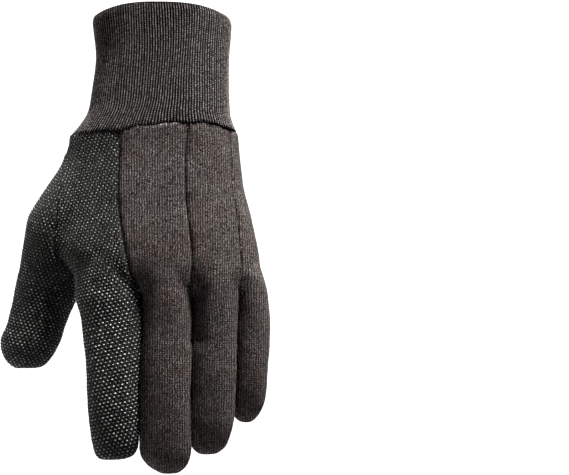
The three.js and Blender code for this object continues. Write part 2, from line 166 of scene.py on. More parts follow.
THUMB = [
    Section(-60, -46.0, -28.0, -8.0, 13.0),
    Section(-71, -50.7, -29.0, -12.4, 19.6),
    Section(-80, -54.8, -31.0, -13.4, 24.8),
    Section(-89, -60.8, -34.0, -13.8, 28.4),
    Section(-98, -66.8, -37.0, -13.6, 30.2),
    Section(-107, -71.9, -40.4, -12.4, 31.0),
    Section(-119, -74.0, -44.0, -9.0, 30.8),
    Section(-133, -76.6, -44.6, -3.4, 29.8),
    Section(-145, -79.4, -45.0, 2.6, 29.2),
    Section(-151, -80.4, -46.8, 4.2, 29.2),
    Section(-158, -82.0, -49.7, 5.6, 29.6),
    Section(-166, -84.4, -52.7, 7.2, 30.6),
    Section(-172, -87.4, -54.7, 8.4, 31.0),
    Section(-177, -87.4, -56.8, 10.0, 31.0),
    Section(-182.5, -85.8, -59.8, 12.6, 29.8),
    Section(-186.8, -82.6, -63.4, 15.4, 27.6),
    Section(-188.6, -79.6, -67.4, 18.0, 24.8),
]

# The cuff, from its rim (down 0) to the seam that joins it to the hand (down 1)
CUFF = [
    CuffSection(0.0, -37.4, 37.2, -26.4, 26.4),
    CuffSection(0.1, -36.7, 37.5, -25.4, 25.4),
    CuffSection(0.35, -35.3, 36.3, -24.4, 24.4),
    CuffSection(0.62, -37.4, 36.2, -24.0, 24.0),
    CuffSection(0.8, -39.4, 36.6, -24.0, 24.0),
    CuffSection(0.9, -43.0, 37.4, -23.9, 24.0),
    CuffSection(1.0, -48.5, 40.3, -23.7, 24.0),
]

# Seams as (height, place) pairs, and the seam between cuff and hand as (place, height)
CUFF_SEAM = [(-120, -63.6), (-50, -63.4), (-39, -61.6), (-22, -60.8), (-6, -58.0), (10, -56.8),
             (22, -56.6), (30, -57.4), (40, -61.0), (120, -61.2)]
INDEX_MIDDLE_SEAM = [(20, -22.0), (-62, -22.1), (-84, -23.0), (-97, -23.2), (-108, -22.1), (-119, -20.5),
                     (-127, -18.9), (-135, -17.0), (-142, -13.6), (-146, -11.4), (-164, -10.7),
                     (-178, -11.4), (-206, -12.3), (-290, -12.5)]
MIDDLE_RING_SEAM = [(20, 14.0), (-57, 14.0), (-75, 12.4), (-95, 12.6), (-113, 14.6), (-124, 16.0),
                    (-134, 16.0), (-146, 15.6), (-164, 16.25), (-178, 16.35), (-206, 15.7), (-290, 15.3)]
RING_LITTLE_SEAM = [(20, 37.0), (-58, 37.0), (-78, 37.8), (-95, 39.0), (-108, 41.0), (-119, 42.2),
                    (-132, 43.0), (-141, 42.0), (-148, 40.9), (-164, 40.5), (-178, 40.6), (-190, 40.2),
                    (-200, 39.4), (-207, 39.0), (-290, 39.0)]
THUMB_BACK_SEAM = [(20, -50.4), (-66, -50.4), (-83, -52.4), (-105, -55.6), (-119, -57.5), (-125, -57.0),
                   (-133, -51.2), (-139, -47.6), (-145, -45.9), (-152, -46.0), (-160, -47.2), (-290, -47.2)]
THUMB_PALM_SEAM = [(20, -32.0), (-63, -32.0), (-100, -38.6), (-119, -43.2), (-133, -45.6), (-145, -45.9),
                   (-152, -46.0), (-160, -47.2), (-290, -47.2)]
THUMB_SPLIT_Y = 4.0

# Depth of the seams down the sides of the fingers and the thumb
INDEX_SPLIT = [(20, -1.0), (-146, -1.0), (-164, -0.4), (-192, 1.9), (-219, 5.5), (-238, 9.0), (-290, 9.0)]
MIDDLE_SPLIT = [(20, 0.0), (-139, -1.0), (-164, -1.4), (-192, 0.8), (-220, 4.4), (-246, 9.0), (-290, 9.0)]
RING_SPLIT = [(20, 0.0), (-139, -0.4), (-164, -0.2), (-192, 2.2), (-218, 6.0), (-235, 9.0), (-290, 9.0)]
LITTLE_SPLIT = [(20, 9.0), (-100, 9.0), (-139, 6.5), (-164, 5.2), (-190, 7.8), (-207, 10.6),
                (-218, 12.4), (-290, 12.4)]
THUMB_SPLIT = [(20, 13.0), (-133, 14.5), (-152, 16.8), (-170, 19.5), (-188, 21.6), (-290, 21.6)]

# Folds and sewn dips: a straight line on the back (side -1) or the palm (side 1), how wide and how deep
FOLDS = [
    Fold(-1, -22, -62, -23, -100, 4.0, 0.3),
    Fold(-1, -23, -100, -15, -141, 5.0, 0.7),
    Fold(-1, 14, -58, 13, -98, 3.5, 0.6),
    Fold(-1, 13, -98, 16, -140, 5.0, 1.3),
    Fold(-1, 38, -60, 43, -140, 4.5, 0.8),
    Fold(-1, 20, -148, 19, -172, 4.0, 1.5),
    Fold(1, -40, -128, -12, -78, 5.0, 2.4),
    Fold(1, 52, -118, 8, -128, 5.0, 2.0),
    Fold(1, -12, -146, -14, -126, 4.5, 1.8),
    Fold(1, 16, -146, 15, -130, 4.5, 1.8),
]

# The fingers and thumb are made apart and brought together once the skin is cut, so that the skin never
# joins them. Fingers that touch are made this much wider on the sides that press against each other
DIGITS = ["thumb", "index", "middle", "ring", "little"]
SPREAD_FROM, SPREAD_TO = -136.0, -156.0
SPREAD = {"thumb": -12.0, "index": -6.0, "middle": -2.0, "ring": 2.5, "little": 7.0}
WIDER_FROM, WIDER_TO = -126.0, -148.0
WIDER_LEFT = {"middle": 0.6, "ring": 1.0, "little": 1.2}
WIDER_RIGHT = {"index": 1.6, "middle": 1.6, "ring": 1.6, "little": 0.5}
PRESSED_GAP = 0.18
PRESSED_WAVE = 0.75
PRESSED_FROM, PRESSED_TO = -139.0, -147.0

# The seam down the inner side of the index finger and the thumb starts at its root and goes round its tip
INDEX_SEAM_TOP, INDEX_SEAM_TIP = -143.0, -229.0
THUMB_SEAM_TOP, THUMB_SEAM_TIP = -118.0, -180.0


def at(table, value):
    """Straight interpolation in a table of pairs, whichever way its first column runs."""
    first, second = np.array(table, float).T
    order = np.argsort(first)
    return np.interp(value, first[order], second[order])


def refined(rows, parts):
    """Rows of a table with smooth rows put between them, each column on its own Catmull-Rom curve."""
    table = np.array(rows, float)
    ends = np.vstack([table[:1], table, table[-1:]])
    out = []
    for i in range(len(table) - 1):
        p0, p1, p2, p3 = ends[i:i + 4]
        for k in range(parts):
            t = k / parts
            out.append(0.5 * (2 * p1 + (p2 - p0) * t + (2 * p0 - 5 * p1 + 4 * p2 - p3) * t ** 2
                              + (3 * p1 - p0 - 3 * p2 + p3) * t ** 3))
    out.append(table[-1])
    return np.array(out)


def rings(rows, sides, power):
    """Points of rounded sections, one ring for each row: angle 0 is +X and a quarter turn is +Y."""
    angle = np.linspace(0, 2 * math.pi, sides, endpoint=False)
    across = np.sign(np.cos(angle)) * np.abs(np.cos(angle)) ** (2 / power)
    deep = np.sign(np.sin(angle)) * np.abs(np.sin(angle)) ** (2 / power)
    z, left, right, back, palm = rows.T
    x = (left + right)[:, None] / 2 + (right - left)[:, None] / 2 * across
    y = (back + palm)[:, None] / 2 + (palm - back)[:, None] / 2 * deep
    return np.stack([x, y, np.broadcast_to(z[:, None], x.shape)], axis=2)


def ring_faces(count, sides, first=0):
    """Quads between rings that go downwards, facing out."""
    faces = []
    for r in range(count - 1):
        upper = first + r * sides
        lower = upper + sides
        for i in range(sides):
            after = (i + 1) % sides
            faces.append((lower + i, lower + after, upper + after, upper + i))
    return faces


def smooth_step(value, start, end):
    """0 before start, 1 past end, smooth between, whichever way it runs."""
    t = np.clip((value - start) / (end - start), 0, 1)
    return t * t * (3 - 2 * t)


def spread_share(z):
    """0 above the finger roots, 1 below them."""
    return smooth_step(z, SPREAD_FROM, SPREAD_TO)


def digit_form(rows, name, sides=48, power=FINGER_POWER):
    """Rings of one finger or of the thumb, moved apart from the others and widened where it is pressed."""
    table = refined(rows, 4)
    share = spread_share(table[:, 0])
    wider = np.clip((WIDER_FROM - table[:, 0]) / (WIDER_FROM - WIDER_TO), 0, 1)
    table[:, 1] += SPREAD[name] * share - WIDER_LEFT.get(name, 0) * wider
    table[:, 2] += SPREAD[name] * share + WIDER_RIGHT.get(name, 0) * wider
    return rings(table, sides, power)


def closed_forms():
    """The hand, fingers and thumb as closed forms that run into each other: all vertices and all faces."""
    forms = [
        rings(refined(HAND, 4), 96, HAND_POWER),
        digit_form(INDEX, "index"),
        digit_form(MIDDLE, "middle"),
        digit_form(RING, "ring"),
        digit_form(LITTLE, "little"),
        digit_form(THUMB, "thumb", 56, THUMB_POWER),
    ]
    verts, faces = [], []
    for points in forms:
        count, sides = points.shape[:2]
        first = len(verts)
        verts.extend(points.reshape(-1, 3).tolist())
        faces.extend(ring_faces(count, sides, first))
        faces.append(tuple(first + i for i in range(sides)))
        last = first + (count - 1) * sides
        faces.append(tuple(last + i for i in reversed(range(sides))))
    return verts, faces


def spread_seam(seam, left, right, z):
    """Place of a seam while the digits are apart: in the middle of the gap that it runs down."""
    return at(seam, z) + (SPREAD[left] + SPREAD[right]) / 2 * spread_share(z)


def between_digits():
    """The seams between neighbouring digits, from the thumb's side, with the two digits of each."""
    seams = [THUMB_BACK_SEAM, INDEX_MIDDLE_SEAM, MIDDLE_RING_SEAM, RING_LITTLE_SEAM]
    return list(zip(seams, DIGITS, DIGITS[1:]))


def digit_of(points):
    """Number of each point's digit, by the seams between the digits while they are apart."""
    x, _, z = points.T
    passed = [x > spread_seam(*seam, z) for seam in between_digits()]
    return np.sum(passed, axis=0)


def middle_line(rows, name, z):
    """Place of a digit's middle while the digits are apart."""
    return at([(row.z, (row.left + row.right) / 2) for row in rows], z) + SPREAD[name] * spread_share(z)


def brought_together(points):
    """Takes the spreading back. What lies between two digits is pressed into a narrow, waving gap."""
    x, y, z = points.T
    share = spread_share(z)
    wave_share = smooth_step(z, PRESSED_FROM, PRESSED_TO)
    moved = x - SPREAD["thumb"] * share
    for seam, left, right in between_digits():
        middle = at(seam, z) + PRESSED_WAVE * np.sin(0.62 * y) * wave_share
        low = middle + SPREAD[left] * share - PRESSED_GAP
        high = middle + SPREAD[right] * share + PRESSED_GAP
        t = (x - low) / np.maximum(high - low, 1e-6)
        pressed = middle - PRESSED_GAP + 2 * PRESSED_GAP * t
        moved = np.where(t > 1, x - SPREAD[right] * share, np.where(t > 0, pressed, moved))
    return np.stack([moved, y, z], axis=1)


def mesh_arrays(mesh):
    points = np.empty(len(mesh.vertices) * 3)
    mesh.vertices.foreach_get("co", points)
    return points.reshape(-1, 3)


def whole_skin():
    """One smooth skin round all the forms, with the digits apart, as a bmesh in millimetres."""
    verts, faces = closed_forms()
    mesh = bpy.data.meshes.new("skin_forms")
    mesh.from_pydata(verts, [], faces)
    form = bpy.data.objects.new("skin_forms", mesh)
    bpy.context.collection.objects.link(form)
    remesh = form.modifiers.new("skin", "REMESH")
    remesh.mode = "VOXEL"
    remesh.voxel_size = SKIN_STEP
    smooth = form.modifiers.new("smooth", "SMOOTH")
    smooth.factor = 0.5
    smooth.iterations = SKIN_SMOOTHING
    skin = evaluated_mesh(form)
    bpy.data.objects.remove(form)
    points = mesh_arrays(skin) + vertex_normals(skin) * SKIN_REGAIN
    skin.vertices.foreach_set("co", points.ravel())
    bm = bmesh.new()
    bm.from_mesh(skin)
    bpy.data.meshes.remove(skin)
    return bm


def vertex_normals(mesh):
    normals = np.empty(len(mesh.vertices) * 3)
    mesh.vertex_normals.foreach_get("vector", normals)
    return normals.reshape(-1, 3)


def evaluated_mesh(obj):
    """A plain mesh of the object as its modifiers make it."""
    graph = bpy.context.evaluated_depsgraph_get()
    graph.update()
    return bpy.data.meshes.new_from_object(obj.evaluated_get(graph), depsgraph=graph)


# Each region of the cloth is where its function is below zero, with the digits apart

def strip_region(p, number, split):
    """The strip of the back over one digit: between its two seams, and in front of its split."""
    seams = between_digits()
    x, y, z = p.T
    region = np.maximum(spread_seam(*seams[number - 1], z) - x, y - at(split, z))
    if number < len(seams):
        region = np.maximum(region, x - spread_seam(*seams[number], z))
    return region


def middle_region(p):
    return strip_region(p, 2, MIDDLE_SPLIT)


def ring_region(p):
    return strip_region(p, 3, RING_SPLIT)


def little_region(p):
    return strip_region(p, 4, LITTLE_SPLIT)


def thumb_region(p):
    x, y, z = p.T
    palm_side = np.maximum(x - spread_seam(THUMB_PALM_SEAM, "thumb", "index", z), THUMB_SPLIT_Y - y)
    return np.minimum(x - spread_seam(THUMB_BACK_SEAM, "thumb", "index", z), palm_side)


def cuff_seam(x):
    """Height of the seam between cuff and hand, which wavers a little as such seams do."""
    return at(CUFF_SEAM, x) + 0.35 * np.sin(0.36 * x) + 0.15 * np.sin(0.9 * x + 1.0)


def above_cuff_seam(p):
    return p[:, 2] - cuff_seam(p[:, 0])


def index_side(p):
    return p[:, 1] - at(INDEX_SPLIT, p[:, 2])


def thumb_side(p):
    return p[:, 1] - at(THUMB_SPLIT, p[:, 2])


def bm_points(bm):
    return np.array([v.co[:] for v in bm.verts])


def cut_along(bm, level, where=None):
    """Puts edges into the mesh where level is zero. Vertices close to that line move onto it."""
    points = bm_points(bm)
    values = level(points)
    values[np.abs(values) < 1e-5] = 0.0
    allowed = np.ones(len(points), bool) if where is None else where(points)
    bm.verts.index_update()
    verts = list(bm.verts)
    crossing = []
    for edge in bm.edges:
        a, b = edge.verts[0].index, edge.verts[1].index
        if values[a] * values[b] < 0 and allowed[a] and allowed[b]:
            crossing.append((edge, a, b, values[a] / (values[a] - values[b])))
    near = 0.22
    for edge, a, b, t in crossing:
        for index, share in ((a, t), (b, 1 - t)):
            if share < near and values[index] != 0.0:
                start, end = (points[a], points[b]) if index == a else (points[b], points[a])
                edge.verts[0 if index == a else 1].co = Vector(start + (end - start) * share)
                values[index] = 0.0
    on_line = []
    for edge, a, b, t in crossing:
        if values[a] * values[b] < 0:
            share = values[a] / (values[a] - values[b])
            _, vert = bmesh.utils.edge_split(edge, edge.verts[0], share)
            on_line.append(vert)
    on_line += [verts[i] for i in np.nonzero((values == 0.0) & allowed)[0]]
    bmesh.ops.connect_verts(bm, verts=on_line)
    bm.verts.index_update()


def fold_depth(p):
    """How far the folds push each point inwards."""
    depth = np.zeros(len(p))
    for fold in FOLDS:
        dx, dz = fold.x2 - fold.x1, fold.z2 - fold.z1
        t = np.clip(((p[:, 0] - fold.x1) * dx + (p[:, 2] - fold.z1) * dz) / (dx * dx + dz * dz), 0, 1)
        away = np.hypot(p[:, 0] - fold.x1 - t * dx, p[:, 2] - fold.z1 - t * dz) / fold.width
        on_side = np.clip(p[:, 1] * fold.side / 6.0, 0, 1)
        depth = np.maximum(depth, fold.depth * np.exp(-away ** 2) * on_side)
    return depth


def noise_at(points, scale, seed):
    """Soft random values from -1 to 1, with features of about scale millimetres."""
    shift = Vector((seed * 17.3, seed * 5.1, seed * 9.7))
    return np.array([noise.noise(Vector(p) / scale + shift) for p in points])


REGIONS = [
    ("back_middle", middle_region),
    ("back_ring", ring_region),
    ("back_little", little_region),
    ("thumb_panel", thumb_region),
]


def cut_skin():
    """Cuts the skin along every seam. Returns its points with the digits apart and as worn, the worn skin's
    normals, the faces, the number of the piece that each face belongs to, and the vertices on seams."""
    bm = whole_skin()
    cut_along(bm, above_cuff_seam)
    doomed = [v for v in bm.verts if above_cuff_seam(np.array([v.co[:]]))[0] > 1e-4]
    bmesh.ops.delete(bm, geom=doomed, context="VERTS")
    for _, level in REGIONS:
        cut_along(bm, level)

    def index_inside(p):
        x, _, z = p.T
        inner = (x > middle_line(INDEX, "index", z)) & (z < INDEX_SEAM_TOP)
        return (inner | (z < INDEX_SEAM_TIP)) & (digit_of(p) == DIGITS.index("index"))

    def thumb_inside(p):
        x, _, z = p.T
        inner = (x > middle_line(THUMB, "thumb", z)) & (z < THUMB_SEAM_TOP)
        on_thumb = (thumb_region(p) < 0.01) & (digit_of(p) == DIGITS.index("thumb"))
        return (inner | (z < THUMB_SEAM_TIP)) & on_thumb

    cut_along(bm, index_side, index_inside)
    cut_along(bm, thumb_side, thumb_inside)
    bm.verts.ensure_lookup_table()
    bm.faces.ensure_lookup_table()
    points = bm_points(bm)
    centres = np.array([face.calc_center_median()[:] for face in bm.faces])
    owner = np.full(len(centres), len(REGIONS))
    for number, (_, level) in enumerate(REGIONS):
        owner[level(centres) < 0] = number
    faces = [tuple(v.index for v in face.verts) for face in bm.faces]
    slits = set()
    in_index = index_inside(points) & (np.abs(index_side(points)) < 1e-3)
    in_thumb = thumb_inside(points) & (np.abs(thumb_side(points)) < 1e-3)
    for edge in bm.edges:
        a, b = edge.verts[0].index, edge.verts[1].index
        if (in_index[a] and in_index[b]) or (in_thumb[a] and in_thumb[b]):
            slits.add((min(a, b), max(a, b)))
    seam = set()
    for edge in bm.edges:
        owners = {owner[face.index] for face in edge.link_faces}
        a, b = edge.verts[0].index, edge.verts[1].index
        if len(owners) > 1 or len(edge.link_faces) < 2 or (min(a, b), max(a, b)) in slits:
            seam.update((a, b))
    mesh = bpy.data.meshes.new("skin_cut")
    bm.to_mesh(mesh)
    bm.free()
    worn = brought_together(points)
    mesh.vertices.foreach_set("co", worn.ravel())
    mesh.update()
    normals = vertex_normals(mesh)
    bpy.data.meshes.remove(mesh)
    return points, worn, normals, faces, owner, sorted(seam)


# The sewn groove, its puckers and the bulge beside it, and the worn cloth's soft unevenness
SEAM_GROOVE, CUFF_GROOVE, GROOVE_WIDTH = 1.05, 0.5, 0.8
PUCKER, CUFF_PUCKER, PUCKER_PITCH = 0.35, 0.1, 2.6
THUMB_SEAM_SHALLOWER = 0.7
SEAM_BULGE, BULGE_PLACE, BULGE_WIDTH = 0.15, 2.6, 1.4
UNEVEN, UNEVEN_PITCH = 0.35, 17.0
FINE_UNEVEN, FINE_UNEVEN_PITCH = 0.14, 6.0


def shaped(points, normals, seam):
    """The cut skin with its folds, its soft unevenness and the groove where two pieces are sewn together."""
    tree = kdtree.KDTree(len(seam))
    for index in seam:
        tree.insert(Vector(points[index]), index)
    tree.balance()
    away = np.array([tree.find(Vector(p))[2] for p in points])
    from_cuff = np.clip((-3.0 - above_cuff_seam(points)) / 3.0, 0, 1)
    pucker_depth = CUFF_PUCKER + (PUCKER - CUFF_PUCKER) * from_cuff
    pucker = 1.0 + pucker_depth * noise_at(points, PUCKER_PITCH, 3)
    by_thumb = smooth_step(points[:, 0], -40, -48)
    depth = (CUFF_GROOVE + (SEAM_GROOVE - CUFF_GROOVE) * from_cuff) * (1 - THUMB_SEAM_SHALLOWER * by_thumb)
    groove = depth * np.exp(-(away / GROOVE_WIDTH) ** 2) * pucker
    bulge = SEAM_BULGE * from_cuff * np.exp(-((away - BULGE_PLACE) / BULGE_WIDTH) ** 2)
    uneven = UNEVEN * noise_at(points, UNEVEN_PITCH, 1) + FINE_UNEVEN * noise_at(points, FINE_UNEVEN_PITCH, 2)
    out = bulge + uneven - groove - fold_depth(points)
    return points + normals * out[:, None], tree


class Arcs:
    """Lengths round the rounded sections of one form, for finding where its points lie on flat cloth."""

    SAMPLES = 360

    def __init__(self, rows, power):
        self.rows = refined(rows, 4)[::-1]
        self.power = power
        points = rings(self.rows, self.SAMPLES, power)
        steps = np.linalg.norm(np.roll(points, -1, axis=1)[:, :, :2] - points[:, :, :2], axis=2)
        self.lengths = np.hstack([np.zeros((len(steps), 1)), np.cumsum(steps, axis=1)])

    def column(self, k, z):
        return np.interp(z, self.rows[:, 0], self.rows[:, k])

    def length(self, z, angle):
        """Length round the section at height z, from angle 0 to the given one."""
        turns = np.floor(angle / (2 * math.pi))
        place = (angle / (2 * math.pi) - turns) * self.SAMPLES
        row = np.interp(z, self.rows[:, 0], np.arange(len(self.rows)))
        r = np.minimum(row.astype(int), len(self.rows) - 2)
        a = np.minimum(place.astype(int), self.SAMPLES - 1)
        fr, fa = row - r, place - a
        table = self.lengths
        upper = table[r, a] * (1 - fa) + table[r, a + 1] * fa
        lower = table[r + 1, a] * (1 - fa) + table[r + 1, a + 1] * fa
        whole = table[r, -1] * (1 - fr) + table[r + 1, -1] * fr
        return upper * (1 - fr) + lower * fr + turns * whole

    def spread_out(self, x, y, z, front):
        """Place across the flat cloth: the form's middle plus the length round it from its middle line."""
        left, right, back, palm = (self.column(k, z) for k in range(1, 5))
        across = (2 * x - left - right) / (right - left)
        deep = (2 * y - back - palm) / (palm - back)
        angle = np.arctan2(np.sign(deep) * np.abs(deep) ** (self.power / 2),
                           np.sign(across) * np.abs(across) ** (self.power / 2))
        half, whole = math.pi / 2, 2 * math.pi
        if front:
            angle = np.where(angle < -half, angle + whole, angle)
            arc = self.length(z, np.full_like(z, half)) - self.length(z, angle)
        else:
            angle = np.where(angle > half, angle - whole, angle)
            arc = self.length(z, angle) - self.length(z, np.full_like(z, -half))
        return (left + right) / 2 + arc

    def back_place(self, x, z):
        """Place across the flat cloth of the form's back at x."""
        left, right = self.column(1, z), self.column(2, z)
        across = np.clip((2 * x - left - right) / (right - left), -1, 1)
        angle = -np.arccos(np.sign(across) * np.abs(across) ** (self.power / 2))
        return (left + right) / 2 + self.length(z, angle) - self.length(z, np.full_like(z, -math.pi / 2))

    def far_side(self, z):
        """Place across the flat cloth of the form's left edge, where its back and front are one cloth."""
        quarter = self.length(z, np.full_like(z, -math.pi / 2)) - self.length(z, np.full_like(z, -math.pi))
        return (self.column(1, z) + self.column(2, z)) / 2 - quarter

    def down(self, z, start):
        """Height on the flat cloth: below start, the length down the form's flank and under its tip."""
        girth = (self.rows[:, 2] - self.rows[:, 1] + self.rows[:, 4] - self.rows[:, 3]) / 4
        steps = np.hypot(np.diff(self.rows[:, 0]), np.diff(girth))
        lengths = np.concatenate([[0], np.cumsum(steps)])
        below = np.interp(z, self.rows[:, 0], lengths) - np.interp(start, self.rows[:, 0], lengths)
        return np.where(z < start, start + below, z)


# The flat cloth: the hand's own sections count above HAND_CLOSES, and below FINGERS_FROM the cloth runs down
# the flanks of the digits. The hand's places change to the digits' own from BLEND_FROM to BLEND_TO. The
# gathers say how much longer the flat cloth is. The level stretch holds between the cuff and the index finger.
HAND_CLOSES = -130.0
FINGERS_FROM = -139.0
BLEND_FROM, BLEND_TO = -116.0, -162.0
STRIP_STRETCH = 0.25
BACK_GATHER = [(-290, 0), (-150, 0), (-130, 3.2), (20, 51.2)]
THUMB_GATHER = 1.2
LEVEL_FROM = -38.0
LEVEL_STRETCH = 1.15
LEVEL_TOP, LEVEL_BOTTOM, LEVEL_SIDE = (-60, -74), (-138, -122), (-22, -34)
THUMB_LEAN = math.radians(14.3)


def flat_places(points):
    """Where each point of the skin lies on the flat cloth, in millimetres: once as the back and once as the
    front of a finger, and both for the thumb piece. The points are those with the digits apart. The worn
    cloth is gathered over the back of the hand and the thumb, so it is longer when flat."""
    x, y, z = points.T
    digit = digit_of(points)
    rest_x = x - np.choose(digit, [SPREAD[name] for name in DIGITS]) * spread_share(z)
    hand = Arcs([row for row in HAND if row.z > HAND_CLOSES], HAND_POWER)
    blend = smooth_step(z, BLEND_FROM, BLEND_TO)
    index = Arcs(INDEX, FINGER_POWER)
    z_edge = np.minimum(z, BLEND_FROM)
    edge_blend = np.where(z < BLEND_FROM, blend, 0)
    edge = hand.far_side(z_edge) * (1 - edge_blend) + index.far_side(z_edge) * edge_blend
    across, up = {}, {}
    for front in (False, True):
        whole = hand.spread_out(rest_x, y, z, front)
        if not front:
            level = np.maximum(rest_x, LEVEL_FROM)
            level_place = hand.back_place(level, z) + (rest_x - level) * LEVEL_STRETCH
            share = smooth_step(z, *LEVEL_TOP) * smooth_step(z, *LEVEL_BOTTOM)
            share *= smooth_step(rest_x, *LEVEL_SIDE)
            whole = whole * (1 - share) + level_place * share
        place = whole.copy()
        up[front] = z.copy()
        for number, rows in enumerate([INDEX, MIDDLE, RING, LITTLE], start=1):
            mine = digit == number
            arcs = Arcs(rows, FINGER_POWER)
            own = arcs.spread_out(rest_x[mine], y[mine], z[mine], front)
            if not front and number > 1:
                own = rest_x[mine] + (own - rest_x[mine]) * STRIP_STRETCH
            place[mine] = whole[mine] * (1 - blend[mine]) + own * blend[mine]
            up[front][mine] = arcs.down(z[mine], FINGERS_FROM)
        across[front] = 2 * edge - place if front else place
    up[False] += at(BACK_GATHER, z)
    thumb = Arcs(THUMB, THUMB_POWER)
    thumb_up = thumb.down(z, FINGERS_FROM) * THUMB_GATHER
    lean_cos, lean_sin = math.cos(THUMB_LEAN), math.sin(THUMB_LEAN)
    side = thumb.far_side(z) * lean_cos - thumb_up * lean_sin
    thumb_places = {}
    for front in (False, True):
        place = thumb.spread_out(x - SPREAD["thumb"] * spread_share(z), y, z, front)
        u = place * lean_cos - thumb_up * lean_sin
        v = thumb_up * lean_cos + place * lean_sin
        thumb_places[front] = np.stack([2 * side - u if front else u, v], axis=1)
    finger_places = {front: np.stack([across[front], up[front]], axis=1) for front in (False, True)}
    return finger_places, thumb_places


def linear(hex_colour):
    """sRGB hex colour as linear RGBA."""
    values = [int(hex_colour[i:i + 2], 16) / 255 for i in (1, 3, 5)]
    return [v / 12.92 if v <= 0.04045 else ((v + 0.055) / 1.055) ** 2.4 for v in values] + [1.0]


def add(tree, kind, settings=None, links=None):
    """Adds a node, sets its properties or input values by name or number, and links its inputs."""
    node = tree.nodes.new(kind)
    for key, value in (settings or {}).items():
        if isinstance(key, int) or key in node.inputs:
            node.inputs[key].default_value = value
        else:
            setattr(node, key, value)
    for key, socket in (links or {}).items():
        tree.links.new(socket, node.inputs[key])
    return node


def new_material(name):
    """A material with one shader. Returns it, its nodes and the shader."""
    material = bpy.data.materials.new(name)
    material.use_nodes = True
    tree = material.node_tree
    tree.nodes.clear()
    shader = add(tree, "ShaderNodeBsdfPrincipled")
    add(tree, "ShaderNodeOutputMaterial", links={"Surface": shader.outputs[0]})
    return material, tree, shader


def step(tree, operation, first, second=None, third=None):
    """A maths node of numbers and sockets. Returns its output."""
    node = add(tree, "ShaderNodeMath", {"operation": operation})
    for k, value in enumerate((first, second, third)):
        if isinstance(value, (int, float)):
            node.inputs[k].default_value = value
        elif value is not None:
            tree.links.new(value, node.inputs[k])
    return node.outputs[0]


def noise_between(tree, scale, detail, low, high):
    """Noise on the object's own coordinates, stretched so that low becomes 0 and high becomes 1."""
    place = add(tree, "ShaderNodeTexCoord").outputs["Object"]
    texture = add(tree, "ShaderNodeTexNoise", {"Scale": scale, "Detail": detail}, {"Vector": place})
    spread = add(tree, "ShaderNodeMapRange", {"From Min": low, "From Max": high}, {0: texture.outputs[0]})
    return spread.outputs[0]


def colour_ramp(tree, factor, stops):
    """A ramp through (place, hex colour) stops."""
    ramp = add(tree, "ShaderNodeValToRGB", links={0: factor}).color_ramp
    while len(ramp.elements) < len(stops):
        ramp.elements.new(0.5)
    for element, (place, colour) in zip(ramp.elements, stops):
        element.position = place
        element.color = linear(colour)
    return tree.nodes[-1].outputs[0]


def knit(tree, wales, courses):
    """A jersey knit from counts of wales and courses: the height on a wale's ridge, and its V loops."""
    turn = step(tree, "MULTIPLY", wales, 2 * math.pi)
    ridge = step(tree, "MULTIPLY_ADD", step(tree, "COSINE", turn), 0.5, 0.5)
    side = step(tree, "PINGPONG", wales, 0.5)
    slanted = step(tree, "MULTIPLY_ADD", side, 1.3, courses)
    loops = step(tree, "SINE", step(tree, "MULTIPLY", slanted, 2 * math.pi))
    return ridge, loops


def cloth_counts(tree):
    """Counts of wales and courses on the flat cloth, with the wales wandering a little."""
    uv = add(tree, "ShaderNodeUVMap", {"uv_map": "cloth"}).outputs[0]
    parts = add(tree, "ShaderNodeSeparateXYZ", links={0: uv}).outputs
    wander = noise_between(tree, 90.0, 1.0, 0.0, 1.0)
    wales = step(tree, "MULTIPLY_ADD", parts[0], 1000 / WALE_PITCH, step(tree, "MULTIPLY", wander, 0.8))
    return wales, step(tree, "MULTIPLY", parts[1], 1000 / COURSE_PITCH)


def knit_material(name, stops, wale_shade_share, fleck_share, bump):
    """Cotton knit: each wale's valley is painted darker than its ridge as painted shade, with light and dark
    fibres mixed in.
    """
    material, tree, shader = new_material(name)
    wales, courses = cloth_counts(tree)
    ridge, loops = knit(tree, wales, courses)
    fleck = noise_between(tree, 1900.0, 2.0, 0.36, 0.64)
    # Painted shade: the colour follows each wale's ridge, so the valleys between the wales are darker
    tone = step(tree, "MULTIPLY", ridge, wale_shade_share)
    tone = step(tree, "MULTIPLY_ADD", loops, 0.14, tone)
    tone = step(tree, "MULTIPLY_ADD", fleck, fleck_share, tone)
    colour = colour_ramp(tree, tone, stops)
    tree.links.new(colour, shader.inputs["Base Color"])
    shader.inputs["Roughness"].default_value = 0.95
    shader.inputs["Specular IOR Level"].default_value = 0.2
    height = step(tree, "MULTIPLY_ADD", loops, 0.3, ridge)
    relief = add(tree, "ShaderNodeBump", {"Strength": bump, "Distance": 0.0003}, {"Height": height})
    tree.links.new(relief.outputs[0], shader.inputs["Normal"])
    return material, tree, shader, colour


def jersey_material():
    """Brown heathered cotton jersey, with reddish patches where other fibres were carded in."""
    stops = [(0.0, "#070606"), (0.35, "#272321"), (0.6, "#544d4b"), (1.0, "#b8aea8")]
    material, tree, shader, colour = knit_material("heathered_cotton_jersey", stops, 0.3, 0.66, 0.8)
    red = step(tree, "MULTIPLY", noise_between(tree, 70.0, 3.0, 0.45, 0.7), 0.5)
    warm = add(tree, "ShaderNodeMix", {"data_type": "RGBA", "blend_type": "MULTIPLY"}, {0: red, 6: colour})
    warm.inputs[7].default_value = linear("#f7d5cc")
    tree.links.new(warm.outputs[2], shader.inputs["Base Color"])
    return material


def dotted_cloth_material():
    """Near-black cotton jersey under the grip dots: the same knit, dyed darker, slightly green."""
    stops = [(0.0, "#040403"), (0.5, "#1f1f1d"), (1.0, "#6a6a65")]
    return knit_material("black_cotton_jersey", stops, 0.3, 0.6, 0.7)[0]


